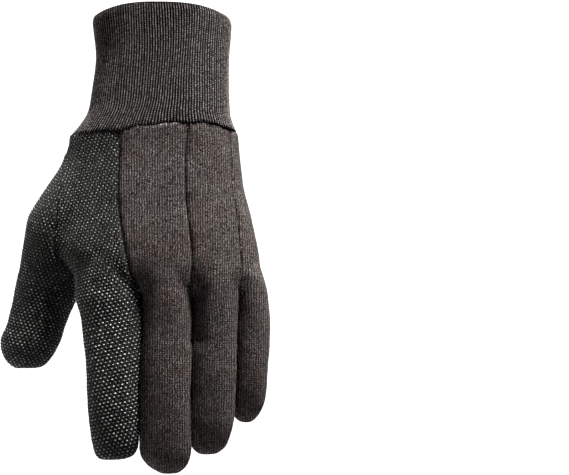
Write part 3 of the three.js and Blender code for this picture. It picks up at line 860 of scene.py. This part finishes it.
def dot_material():
    """Soft PVC grip dots: light grey, slightly shiny, each a little lighter or darker than the next."""
    material, tree, shader = new_material("grey_pvc_dots")
    vary = noise_between(tree, 420.0, 1.0, 0.3, 0.7)
    colour = colour_ramp(tree, vary, [(0.0, "#4c4c4a"), (0.5, "#a5a5a2"), (1.0, "#f2f2f0")])
    tree.links.new(colour, shader.inputs["Base Color"])
    shader.inputs["Roughness"].default_value = 0.45
    shader.inputs["IOR"].default_value = 1.53
    return material


def rib_material():
    """Brown rib-knit cotton: light crests of small V loops, and painted shade that makes the valleys between
    the ribs nearly black.
    """
    material, tree, shader = new_material("brown_rib_knit_cotton")
    uv = add(tree, "ShaderNodeUVMap", {"uv_map": "cloth"}).outputs[0]
    parts = add(tree, "ShaderNodeSeparateXYZ", links={0: uv}).outputs
    ridge, loops = knit(tree, parts[0], step(tree, "MULTIPLY", parts[1], 1000 / COURSE_PITCH))
    fleck = noise_between(tree, 1900.0, 2.0, 0.36, 0.64)
    valley = step(tree, "FLOOR", parts[0])
    dark = add(tree, "ShaderNodeTexWhiteNoise", {"noise_dimensions": "1D"}, {"W": valley}).outputs[0]
    # Painted shade: the colour falls from each rib's crest to nearly black in its valley, more or less sharply
    # at random from rib to rib
    rib_shade = step(tree, "POWER", ridge, step(tree, "MULTIPLY_ADD", dark, 0.9, 1.1))
    tone = step(tree, "MULTIPLY_ADD", loops, 0.12, 0.45)
    tone = step(tree, "MULTIPLY_ADD", fleck, 0.5, tone)
    tone = step(tree, "MULTIPLY", tone, rib_shade)
    stops = [(0.0, "#010101"), (0.35, "#110f0f"), (0.7, "#6c6562"), (1.0, "#d0c8c3")]
    colour = colour_ramp(tree, tone, stops)
    tree.links.new(colour, shader.inputs["Base Color"])
    shader.inputs["Roughness"].default_value = 0.95
    shader.inputs["Specular IOR Level"].default_value = 0.2
    relief = add(tree, "ShaderNodeBump", {"Strength": 0.6, "Distance": 0.00025}, {"Height": loops})
    tree.links.new(relief.outputs[0], shader.inputs["Normal"])
    return material


def link_piece(name, mesh, material):
    mesh.materials.clear()
    mesh.materials.append(material)
    mesh.shade_smooth()
    piece = bpy.data.objects.new(name, mesh)
    bpy.context.collection.objects.link(piece)
    return piece


def finish_piece(piece, slot, *nodes):
    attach(piece, "root")
    if nodes:
        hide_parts(*nodes)


def piece_mesh(name, points, faces, keep, places, is_front):
    """The faces of one cloth piece as a mesh. Its UV map "cloth" is its place on flat cloth, in metres."""
    numbers = np.nonzero(keep)[0]
    used = sorted({v for i in numbers for v in faces[i]})
    new_index = {v: i for i, v in enumerate(used)}
    own_faces = [tuple(new_index[v] for v in faces[i]) for i in numbers]
    mesh = bpy.data.meshes.new(name)
    mesh.from_pydata((points[used] * MM).tolist(), [], own_faces)
    corners = np.array([v for i in numbers for v in faces[i]])
    front = np.array([is_front[i] for i in numbers for _ in faces[i]])
    flat = np.where(front[:, None], places[True][corners], places[False][corners])
    layer = mesh.uv_layers.new(name="cloth")
    layer.uv.foreach_set("vector", (flat * MM).ravel())
    return mesh


def hashed(i, j, salt):
    """Numbers from 0 to 1 that look random but depend only on the lattice place."""
    value = np.sin(i * 12.9898 + j * 78.233 + salt * 37.719) * 43758.5453
    return value - np.floor(value)


def triangle_arrays(mesh):
    """Positions, normals and flat places of the corners of each triangle."""
    mesh.calc_loop_triangles()
    count = len(mesh.loop_triangles)
    verts, loops = np.empty(count * 3, int), np.empty(count * 3, int)
    mesh.loop_triangles.foreach_get("vertices", verts)
    mesh.loop_triangles.foreach_get("loops", loops)
    uv = np.empty(len(mesh.loops) * 2)
    mesh.uv_layers["cloth"].uv.foreach_get("vector", uv)
    shape = (count, 3, -1)
    return (mesh_arrays(mesh)[verts].reshape(shape), vertex_normals(mesh)[verts].reshape(shape),
            uv.reshape(-1, 2)[loops].reshape(shape))


# Dots stand only where flat and worn cloth agree this well, and are smaller where the worn cloth is gathered
STRETCH_LEAST, STRETCH_MOST = 0.35, 2.6
GATHERED_HEIGHTS, GATHERED_DEPTHS, GATHERED_SHRINK = (-150, -130), (4, -2), 0.38


def dot_places(mesh, tilt):
    """Where the staggered lattice of dots meets the worn cloth: positions, normals, row directions and sizes.
    Dots are smaller where the cloth is gathered, over the back of the hand and the thumb's base."""
    corners, normals, flat = triangle_arrays(mesh)
    pitch, row = DOT_PITCH * MM, DOT_ROWS * MM
    turn = math.radians(tilt)
    along = np.array([math.cos(turn), math.sin(turn)]) * pitch
    over = np.array([-math.sin(turn), math.cos(turn)]) * row + along / 2
    basis = np.stack([along, over], axis=1)
    e1, e2 = flat[:, 1] - flat[:, 0], flat[:, 2] - flat[:, 0]
    flat_area = e1[:, 0] * e2[:, 1] - e1[:, 1] * e2[:, 0]
    s1, s2 = corners[:, 1] - corners[:, 0], corners[:, 2] - corners[:, 0]
    area = np.linalg.norm(np.cross(s1, s2), axis=1)
    ratio = np.abs(flat_area) / np.maximum(area, 1e-15)
    usable = (ratio > STRETCH_LEAST) & (ratio < STRETCH_MOST)
    corners, normals, flat = corners[usable], normals[usable], flat[usable]
    e1, e2, s1, s2, flat_area = e1[usable], e2[usable], s1[usable], s2[usable], flat_area[usable]
    nearest = np.round(flat.mean(1) @ np.linalg.inv(basis).T)
    found = []
    for di in (-1, 0, 1):
        for dj in (-1, 0, 1):
            i, j = nearest[:, 0] + di, nearest[:, 1] + dj
            spot = np.stack([i, j], axis=1) @ basis.T
            spot[:, 0] += (hashed(i, j, 1) - 0.5) * DOT_JITTER * MM
            spot[:, 1] += (hashed(i, j, 2) - 0.5) * DOT_JITTER * MM
            d = spot - flat[:, 0]
            b = (d[:, 0] * e2[:, 1] - d[:, 1] * e2[:, 0]) / flat_area
            c = (e1[:, 0] * d[:, 1] - e1[:, 1] * d[:, 0]) / flat_area
            inside = (b >= 0) & (c >= 0) & (b + c <= 1)
            weights = np.stack([1 - b - c, b, c], axis=1)[inside][:, :, None]
            direction = (s1 * e2[:, 1:2] - s2 * e1[:, 1:2])[inside] / flat_area[inside][:, None]
            direction2 = (s2 * e1[:, 0:1] - s1 * e2[:, 0:1])[inside] / flat_area[inside][:, None]
            rowwise = direction * math.cos(turn) + direction2 * math.sin(turn)
            position = (corners[inside] * weights).sum(1)
            _, y, z = position.T / MM
            gathered = smooth_step(z, *GATHERED_HEIGHTS) * smooth_step(y, *GATHERED_DEPTHS)
            size = DOT_SMALLEST + DOT_VARIES * hashed(i[inside], j[inside], 3)
            size *= 1 - GATHERED_SHRINK * gathered
            found.append((position, (normals[inside] * weights).sum(1), rowwise, size))
    return [np.concatenate(parts) for parts in zip(*found)]


def node_tree(name, sizes):
    """An empty Geometry Nodes tree with a named input for each size. Returns it and its inputs."""
    tree = bpy.data.node_groups.new(name, "GeometryNodeTree")
    tree.interface.new_socket("Geometry", in_out="INPUT", socket_type="NodeSocketGeometry")
    tree.interface.new_socket("Geometry", in_out="OUTPUT", socket_type="NodeSocketGeometry")
    for size_name, value in sizes.items():
        kind = "NodeSocketInt" if isinstance(value, int) else "NodeSocketFloat"
        tree.interface.new_socket(size_name, in_out="INPUT", socket_type=kind)
    return tree, add(tree, "NodeGroupInput").outputs


def end_tree(tree, geometry, material):
    """The end of each tree: instances made real, and the material set."""
    real = add(tree, "GeometryNodeRealizeInstances", links={0: geometry}).outputs[0]
    dressed = add(tree, "GeometryNodeSetMaterial", {"Material": material}, {"Geometry": real}).outputs[0]
    add(tree, "NodeGroupOutput", links={0: dressed})


def stored(tree, name, kind="FLOAT"):
    """A value that each point of the mesh carries."""
    return add(tree, "GeometryNodeInputNamedAttribute", {"data_type": kind, "Name": name}).outputs[0]


def store(mesh, name, values):
    """Gives each point of the mesh a number or a vector."""
    kind, slot = ("FLOAT", "value") if values.ndim == 1 else ("FLOAT_VECTOR", "vector")
    mesh.attributes.new(name, kind, "POINT").data.foreach_set(slot, values.ravel())


def apply_modifiers(piece):
    """Puts what the piece's modifiers make in place of its mesh, without the values its points carried."""
    mesh = evaluated_mesh(piece)
    piece.modifiers.clear()
    for name in [layer.name for layer in mesh.attributes if layer.name.startswith("carried_")]:
        mesh.attributes.remove(mesh.attributes[name])
    old = piece.data
    piece.data = mesh
    bpy.data.meshes.remove(old)
    mesh.name = piece.name


def run_tree(piece, tree, sizes):
    """Applies a Geometry Nodes tree to the piece, with its sizes set by the identifiers of its inputs."""
    modifier = piece.modifiers.new(tree.name, "NODES")
    modifier.node_group = tree
    for item in tree.interface.items_tree:
        if item.name in sizes:
            modifier[item.identifier] = sizes[item.name]
    apply_modifiers(piece)


def dot_dome(tree, sides):
    """One dot of length, width and height 1: a steep skirt from under the cloth's face, and a low cap."""
    skirt = add(tree, "GeometryNodeMeshCone", {
        "fill_type": "NGON",
        "Radius Bottom": 0.5,
        "Radius Top": DOT_SHOULDER / 2,
        "Depth": DOT_ROOT + DOT_SHOULDER,
    }, {"Vertices": sides}).outputs
    open_skirt = add(tree, "GeometryNodeDeleteGeometry", {"domain": "FACE"},
                     {"Geometry": skirt["Mesh"], "Selection": skirt["Top"]}).outputs[0]
    sunk = add(tree, "GeometryNodeTransform", {"Translation": (0, 0, -DOT_ROOT)}, {"Geometry": open_skirt})
    cap = add(tree, "GeometryNodeMeshCone", {
        "fill_type": "NONE",
        "Radius Bottom": DOT_SHOULDER / 2,
        "Radius Top": 0.0,
        "Depth": 1 - DOT_SHOULDER,
    }, {"Vertices": sides}).outputs["Mesh"]
    raised = add(tree, "GeometryNodeTransform", {"Translation": (0, 0, DOT_SHOULDER)}, {"Geometry": cap})
    both = add(tree, "GeometryNodeJoinGeometry")
    tree.links.new(sunk.outputs[0], both.inputs[0])
    tree.links.new(raised.outputs[0], both.inputs[0])
    merged = add(tree, "GeometryNodeMergeByDistance", {"Distance": 0.01}, {"Geometry": both.outputs[0]})
    return merged.outputs[0]


def grip_dot_tree(material):
    """A dot on each place, standing on the cloth and turned along the lattice's row."""
    tree, given = node_tree("grip_dots", DOT_SIZE)
    turned = add(tree, "FunctionNodeAxesToRotation", {"primary_axis": "Z", "secondary_axis": "X"}, {
        "Primary Axis": stored(tree, "carried_normal", "FLOAT_VECTOR"),
        "Secondary Axis": stored(tree, "carried_row", "FLOAT_VECTOR"),
    })
    size_links = {0: given["Length"], 1: given["Width"], 2: given["Height"]}
    whole = add(tree, "ShaderNodeCombineXYZ", links=size_links).outputs[0]
    scaled = add(tree, "ShaderNodeVectorMath", {"operation": "SCALE"},
                 {0: whole, "Scale": stored(tree, "carried_size")})
    dots = add(tree, "GeometryNodeInstanceOnPoints", links={
        "Points": given["Geometry"],
        "Instance": dot_dome(tree, given["Sides"]),
        "Rotation": turned.outputs[0],
        "Scale": scaled.outputs[0],
    })
    end_tree(tree, dots.outputs[0], material)
    return tree


def add_dots(name, cloth_mesh, tilt, seam_tree, tree, material):
    """The grip dots of one cloth piece, as one mesh of small domes. Seams are left free."""
    places = dot_places(cloth_mesh, tilt)
    clear = np.array([seam_tree.find(Vector(p / MM))[2] > DOT_FREE_OF_SEAM for p in places[0]])
    position, normal, row, size = (values[clear] for values in places)
    mesh = bpy.data.meshes.new(name + "_places")
    mesh.from_pydata(position.tolist(), [], [])
    store(mesh, "carried_normal", normal)
    store(mesh, "carried_row", row)
    store(mesh, "carried_size", size)
    piece = link_piece(name, mesh, material)
    run_tree(piece, tree, DOT_SIZE)
    piece.data.shade_smooth()
    return piece


def thicken(piece):
    """Gives the cloth its thickness, inwards."""
    solid = piece.modifiers.new("thickness", "SOLIDIFY")
    solid.thickness = CLOTH * MM
    solid.offset = -1.0
    solid.use_quality_normals = True
    apply_modifiers(piece)


def shrink_border(mesh):
    """Draws the outer border of a piece back by half a hair's gap, within the cloth."""
    bm = bmesh.new()
    bm.from_mesh(mesh)
    moves = {}
    for vert in bm.verts:
        inner = [edge.other_vert(vert).co for edge in vert.link_edges if not edge.is_boundary]
        if vert.is_boundary and inner:
            towards = sum(inner, Vector()) / len(inner) - vert.co
            if towards.length > 0:
                moves[vert] = towards.normalized() * SEAM_GAP * MM / 2
    for vert, move in moves.items():
        vert.co += move
    bm.to_mesh(mesh)
    bm.free()


def even_angles(row, turns):
    """Angles of a rounded section at shares of the length round it, starting from angle 0."""
    fine = np.linspace(0, 2 * math.pi, 4001)
    _, left, right, back, palm = row
    x = (right - left) / 2 * np.sign(np.cos(fine)) * np.abs(np.cos(fine)) ** (2 / CUFF_POWER)
    y = (palm - back) / 2 * np.sign(np.sin(fine)) * np.abs(np.sin(fine)) ** (2 / CUFF_POWER)
    length = np.concatenate([[0], np.cumsum(np.hypot(np.diff(x), np.diff(y)))])
    return np.interp(np.mod(turns, 1) * length[-1], length, fine)


def cuff_rib_tree(material):
    """Presses the valleys between the ribs into a plain tube. Each point carries its share of a turn round
    the tube, how deep its valley is, and the way in."""
    tree, given = node_tree("cuff_ribs", RIB_SIZE)
    ribs = step(tree, "MULTIPLY", stored(tree, "carried_turn"), given["Count"])
    turn = step(tree, "MULTIPLY", ribs, 2 * math.pi)
    wave = step(tree, "MULTIPLY_ADD", step(tree, "COSINE", turn), -0.5, 0.5)
    own_wave = step(tree, "MULTIPLY", wave, stored(tree, "carried_depth"))
    depth = step(tree, "MULTIPLY", own_wave, given["Height"])
    inwards = stored(tree, "carried_inwards", "FLOAT_VECTOR")
    offset = add(tree, "ShaderNodeVectorMath", {"operation": "SCALE"}, {0: inwards, "Scale": depth})
    pressed_links = {"Geometry": given["Geometry"], "Offset": offset.outputs[0]}
    pressed = add(tree, "GeometryNodeSetPosition", links=pressed_links).outputs[0]
    end_tree(tree, pressed, material)
    return tree


def cuff_rim(angle):
    """Height of the rim: it bows up over the back and the palm, a little more on the thumb's side."""
    rise = np.where(np.sin(angle) < 0, RIM_RISE_BACK, RIM_RISE_PALM) * np.sin(angle) ** 2
    return rise - RIM_TILT * np.cos(angle) * np.abs(np.sin(angle))


def cuff_ring(table, rib_turn, down, push, pressed):
    """One ring of the tube's points, and the way in at each. The seam's height is that of the ribbed wall."""
    middle_row = table[len(table) // 2]
    shares = rib_turn / (2 * math.pi)
    rim = cuff_rim(even_angles(middle_row, shares))
    wander = RIB_WANDER * np.sin(7 * down + 5 * rib_turn)
    turn = even_angles(middle_row, shares + wander)
    across = np.sign(np.cos(turn)) * np.abs(np.cos(turn)) ** (2 / CUFF_POWER)
    deep = np.sign(np.sin(turn)) * np.abs(np.sin(turn)) ** (2 / CUFF_POWER)
    left, right, back, palm = (np.interp(down, table[:, 0], table[:, k]) for k in range(1, 5))
    x = (left + right) / 2 + (right - left) / 2 * across
    y = (back + palm) / 2 + (palm - back) / 2 * deep
    length = np.hypot(x, y)
    seam = cuff_seam(x * (1 + (push - pressed) / length)) + SEAM_GAP / 2
    grow = 1 + push / length
    points = np.stack([x * grow, y * grow, rim + (seam - rim) * down], axis=1)
    return points, np.stack([-x / length, -y / length, np.zeros_like(x)], axis=1)


def cuff_layers(rib_share):
    """The tube's rings from the rim down outside and back up inside: how far down, the push outwards, and the
    depth of the ribs. The rim and the seamed edge are rolled in a little."""
    for k in range(CUFF_BANDS + 1):
        down = k / CUFF_BANDS
        rim_roll = RIM_ROLL * math.exp(-(down / RIM_ROLL_SPAN) ** 2)
        seam_roll = SEAM_ROLL * math.exp(-((1 - down) / SEAM_ROLL_SPAN) ** 2)
        yield down, -rim_roll - seam_roll, rib_share
    for k in range(CUFF_INNER_BANDS + 1):
        yield 1 - k / CUFF_INNER_BANDS, -CUFF_WALL, 0 * rib_share


def cuff_uv(mesh, down_of, sides):
    """The cuff's UV map: ribs round the tube, and metres down it. Faces over the start are kept whole."""
    loop_verts = np.empty(len(mesh.loops), int)
    mesh.loops.foreach_get("vertex_index", loop_verts)
    corners = loop_verts.reshape(-1, 4)
    u = corners % sides / RIB_SAMPLES
    over_start = np.ptp(u, axis=1)[:, None] > RIB_COUNT / 2
    u = np.where(over_start & (u < RIB_COUNT / 2), u + RIB_COUNT, u)
    v = down_of[corners // sides] * CUFF_LENGTH * MM
    mesh.uv_layers.new(name="cloth").uv.foreach_set("vector", np.stack([u, v], axis=2).ravel())


def cuff_piece(material):
    """The rib-knit tube: an outer face with fine ribs, a rolled rim, and a plainer inner face."""
    table = refined(CUFF, 8)
    sides = RIB_COUNT * RIB_SAMPLES
    rib_turn = np.linspace(0, 2 * math.pi, sides, endpoint=False)
    rib_share = RIB_SHALLOWEST + RIB_VARIES * hashed(np.arange(sides) // RIB_SAMPLES, 0, 7)
    wave = 0.5 - 0.5 * np.cos(rib_turn * RIB_COUNT)
    layers = list(cuff_layers(rib_share))
    layer_rings = []
    for down, push, share in layers:
        layer_rings.append(cuff_ring(table, rib_turn, down, push, share * wave * RIB_HEIGHT))
    points, inwards = (np.concatenate(parts) for parts in zip(*layer_rings))
    last = (len(layers) - 1) * sides
    faces = ring_faces(len(layers), sides)
    for i in range(sides):
        after = (i + 1) % sides
        faces.append((i, last + i, last + after, after))
    mesh = bpy.data.meshes.new("knit_cuff_tube")
    mesh.from_pydata((points * MM).tolist(), [], faces)
    store(mesh, "carried_turn", np.tile(rib_turn / (2 * math.pi), len(layers)))
    store(mesh, "carried_depth", np.concatenate([share for _, _, share in layers]))
    store(mesh, "carried_inwards", inwards)
    cuff_uv(mesh, np.array([down for down, _, _ in layers]), sides)
    piece = link_piece("knit_cuff_piece", mesh, material)
    run_tree(piece, cuff_rib_tree(material), RIB_SIZE)
    return piece


def add_camera():
    """A long lens in front of the glove, turned a little so that the glove stands at the frame's left."""
    picture_width, picture_height = 569, 475
    mm_per_pixel = 0.54
    origin_x, origin_y = 162, 20
    distance = 1.1
    aim_x = (picture_width / 2 - origin_x) * mm_per_pixel * MM
    aim_z = -(picture_height / 2 - origin_y) * mm_per_pixel * MM
    camera = bpy.data.cameras.new("camera")
    camera.sensor_fit = "HORIZONTAL"
    camera.angle = 2 * math.atan(picture_width * mm_per_pixel * MM / 2 / math.hypot(distance, aim_x))
    camera.clip_start, camera.clip_end = 0.05, 20
    holder = bpy.data.objects.new("camera", camera)
    bpy.context.collection.objects.link(holder)
    holder.location = (0, -distance, aim_z)
    holder.rotation_euler = (math.radians(90), 0, -math.atan2(aim_x, distance))
    bpy.context.scene.camera = holder


def add_stage():
    """Pale floor that runs up into a pale wall behind, well clear of the glove."""
    floor_z, wall_y, half_width, bend = -1.4, 1.9, 1.4, 0.6
    profile = [(-0.5, floor_z)]
    for k in range(13):
        turn = k / 12 * math.pi / 2
        profile.append((wall_y - bend + bend * math.sin(turn), floor_z + bend - bend * math.cos(turn)))
    profile.append((wall_y, 2.6))
    verts = [(x, y, z) for y, z in profile for x in (-half_width, half_width)]
    faces = [(2 * i, 2 * i + 1, 2 * i + 3, 2 * i + 2) for i in range(len(profile) - 1)]
    mesh = bpy.data.meshes.new("floor")
    mesh.from_pydata(verts, [], faces)
    material, _, shader = new_material("matt_white_board")
    shader.inputs["Base Color"].default_value = linear("#f4f4f4")
    shader.inputs["Roughness"].default_value = 0.9
    floor = link_piece("floor", mesh, material)


def area_light(name, place, target, size, power):
    light = bpy.data.lights.new(name, "AREA")
    light.shape = "DISK"
    light.size = size
    light.energy = power
    holder = bpy.data.objects.new(name, light)
    bpy.context.collection.objects.link(holder)
    holder.location = place
    holder.rotation_euler = (Vector(target) - Vector(place)).to_track_quat("-Z", "Y").to_euler()


def add_lights():
    """A key from above right, a weak fill from the left, a light beyond the left edge, and washes that whiten
    the wall behind without reaching the glove's face."""
    middle = (0, 0, -0.12)
    area_light("key", (0.45, -0.48, 1.34), middle, 0.4, 86)
    area_light("fill", (-0.7, -1.4, 0.1), middle, 1.0, 0.1)
    area_light("left_edge", (-1.3, 0.15, -0.25), middle, 0.5, 9)
    area_light("left_wash", (-0.75, 1.1, -0.1), (-0.5, 1.9, -0.12), 0.5, 9)
    area_light("right_wash", (1.05, 1.1, -0.1), (0.8, 1.9, -0.12), 0.5, 9)
    world = bpy.data.worlds.new("studio")
    bpy.context.scene.world = world
    world.use_nodes = True
    background = world.node_tree.nodes["Background"]
    background.inputs["Color"].default_value = (1, 1, 1, 1)
    background.inputs["Strength"].default_value = 0.01
    bpy.context.scene.view_settings.view_transform = "Standard"


def build_glove():
    jersey = jersey_material()
    dotted = dotted_cloth_material()
    dots = dot_material()
    dot_tree = grip_dot_tree(dots)
    cuff = cuff_piece(rib_material())
    finish_piece(cuff, "rib_knit", "knit_cuff")
    apart, worn, normals, faces, owner, seam = cut_skin()
    points, seam_tree = shaped(worn, normals, seam)
    finger_places, thumb_places = flat_places(apart)
    centres = np.array([apart[list(face)].mean(0) for face in faces])
    digits = digit_of(centres)
    splits = [THUMB_SPLIT, INDEX_SPLIT, MIDDLE_SPLIT, RING_SPLIT, LITTLE_SPLIT]
    split = np.choose(digits, [at(table, centres[:, 2]) for table in splits])
    names = [name for name, _ in REGIONS] + ["palm_panel"]
    for number, name in enumerate(names):
        is_thumb = name == "thumb_panel"
        is_dotted = is_thumb or name == "palm_panel"
        level = at(THUMB_SPLIT, centres[:, 2]) if is_thumb else split
        is_front = centres[:, 1] > level if is_dotted else np.zeros(len(faces), bool)
        places = thumb_places if is_thumb else finger_places
        mesh = piece_mesh(name + "_cloth", points, faces, owner == number, places, is_front)
        piece = link_piece(name + "_cloth", mesh, dotted if is_dotted else jersey)
        if is_dotted:
            tilt = 0.0 if is_thumb else PALM_DOT_TILT
            finish_piece(add_dots(name + "_dots", mesh, tilt, seam_tree, dot_tree, dots), "dotted_jersey")
        shrink_border(piece.data)
        thicken(piece)
        finish_piece(piece, "dotted_jersey" if is_dotted else "plain_jersey", name)


add_camera()
add_stage()
add_lights()
build_glove()
